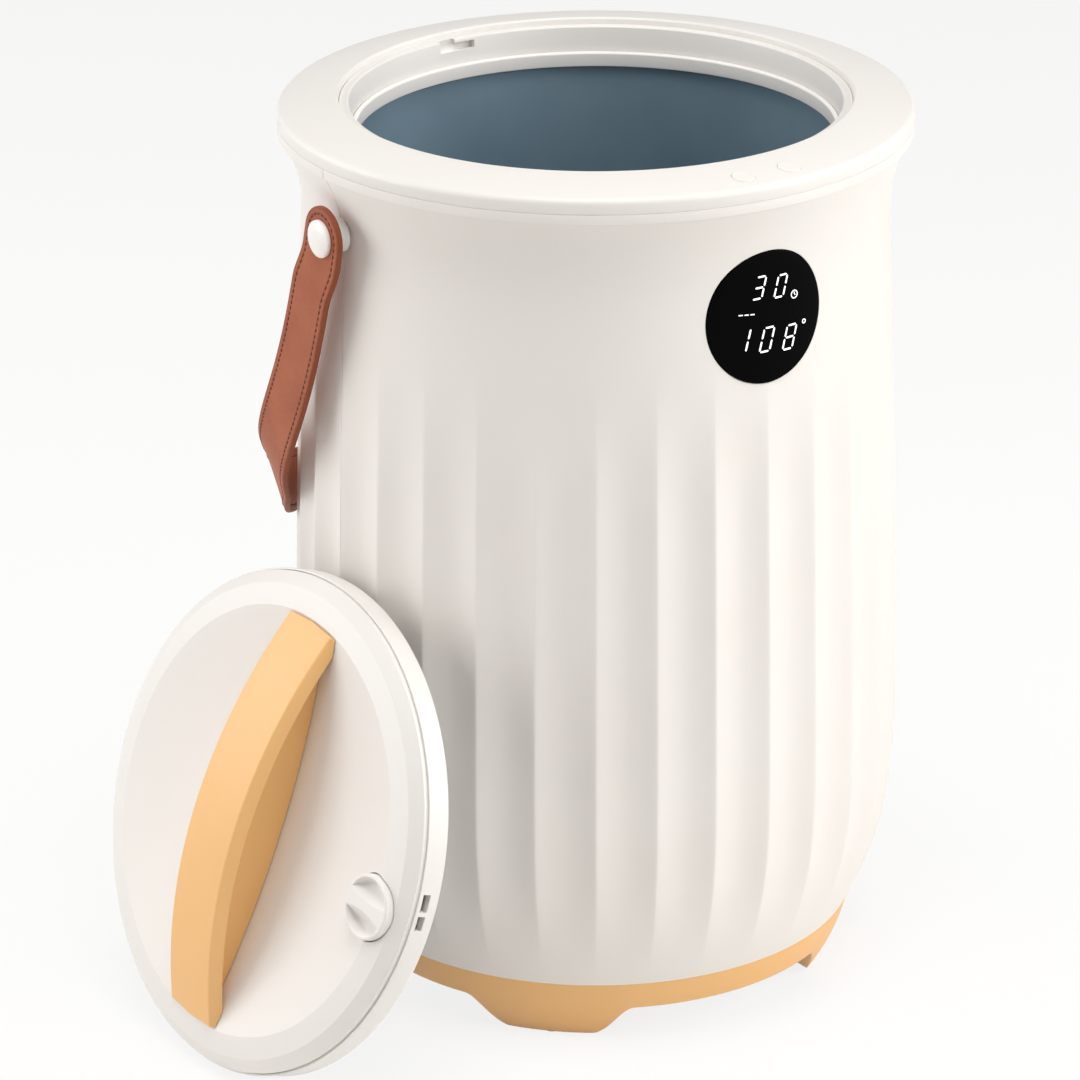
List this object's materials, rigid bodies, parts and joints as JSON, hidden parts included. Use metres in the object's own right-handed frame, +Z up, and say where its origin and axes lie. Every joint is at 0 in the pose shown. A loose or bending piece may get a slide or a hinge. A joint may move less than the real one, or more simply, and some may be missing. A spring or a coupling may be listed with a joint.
{
  "type": "bucket towel warmer",
  "caption": "Fluted bucket towel warmer with a coated well, round display, push buttons, leather carrying strap, footed base, and a lift-off lid with handle and scent knob.",
  "frame": {"origin": "on the floor, on the axis of the bucket", "axes": "+Z up along the bucket's axis, -Y towards the display, -X towards the leaning lid"},
  "size_m": [0.3955, 0.311, 0.4394],
  "materials": {
    "white_shell": "fine satin, warm white",
    "white_trim": "smooth warm white",
    "peach_plastic": "satin peach",
    "liner_coat": "blue-grey non-stick coat",
    "display_black": "polished black",
    "strap_leather": "grained brown, sewn edge",
    "fastener_steel": "plain",
    "nut_brass": "plain",
    "seal_rubber": "grey silicone",
    "pad_rubber": "black, matt",
    "inner_black": "matt",
    "board_green": "solder mask",
    "heater_foil": "foil over wire",
    "felt_grey": "soft felt",
    "reflector_metal": "satin sheet"
  },
  "bodies": {
    "bucket": {"top_ring": "white_shell", "collar": "white_trim", "ring_screws": "fastener_steel", "liner_lip": "white_trim", "liner": "liner_coat", "heater_film": "heater_foil", "insulation_sleeve": "felt_grey", "front_shell": "white_shell", "rear_shell": "white_shell", "display_lens": "display_black", "display_housing": "inner_black", "display_board": "board_green", "base_ring": "peach_plastic", "foot_pads": "pad_rubber", "cord_gland": "pad_rubber", "chassis": "inner_black", "bottom_cover": "inner_black", "cover_screws": "fastener_steel", "control_board": "board_green", "thermostat": "inner_black", "thermal_fuse": "inner_black", "display_cable": "inner_black", "button_board": "board_green", "strap_washers": "white_trim", "strap_rivets": "white_trim", "strap_nuts": "nut_brass"},
    "power_push": {"power_button": "white_trim"},
    "timer_push": {"timer_button": "white_trim"},
    "strap": {"carry_strap": "strap_leather"},
    "lid": {"lid_base": "white_shell", "lid_cover": "white_shell", "lid_screws": "fastener_steel", "lid_seal": "seal_rubber", "lid_reflector": "reflector_metal", "lid_foam": "felt_grey", "lid_handle": "peach_plastic", "handle_screws": "fastener_steel", "scent_cup": "white_trim", "scent_pad": "felt_grey"},
    "knob": {"scent_knob": "white_trim"}
  },
  "joints": [
    {"name": "power_press", "type": "slide", "parent": "bucket", "child": "power_push", "axis": [0.0148, 0.1626, -0.9866], "range_m": [0, 0.0008], "stiffness_N_per_m": 1500},
    {"name": "timer_press", "type": "slide", "parent": "bucket", "child": "timer_push", "axis": [-0.0148, 0.1626, -0.9866], "range_m": [0, 0.0008], "stiffness_N_per_m": 1500},
    {"name": "strap_swing", "type": "hinge", "parent": "bucket", "child": "strap", "pos_m": [0, 0, 0.3946], "axis": [1, 0, 0], "range_deg": [0, 135]},
    {"name": "lid_lift", "type": "slide", "parent": "bucket", "child": "lid", "axis": [-0.9462, -0.0711, 0.3156], "range_m": [0, 0.25]},
    {"name": "knob_turn", "type": "hinge", "parent": "lid", "child": "knob", "pos_m": [-0.18909, -0.11136, 0.10908], "axis": [-0.9462, -0.0711, 0.3156], "range_deg": [0, 90]}
  ]
}
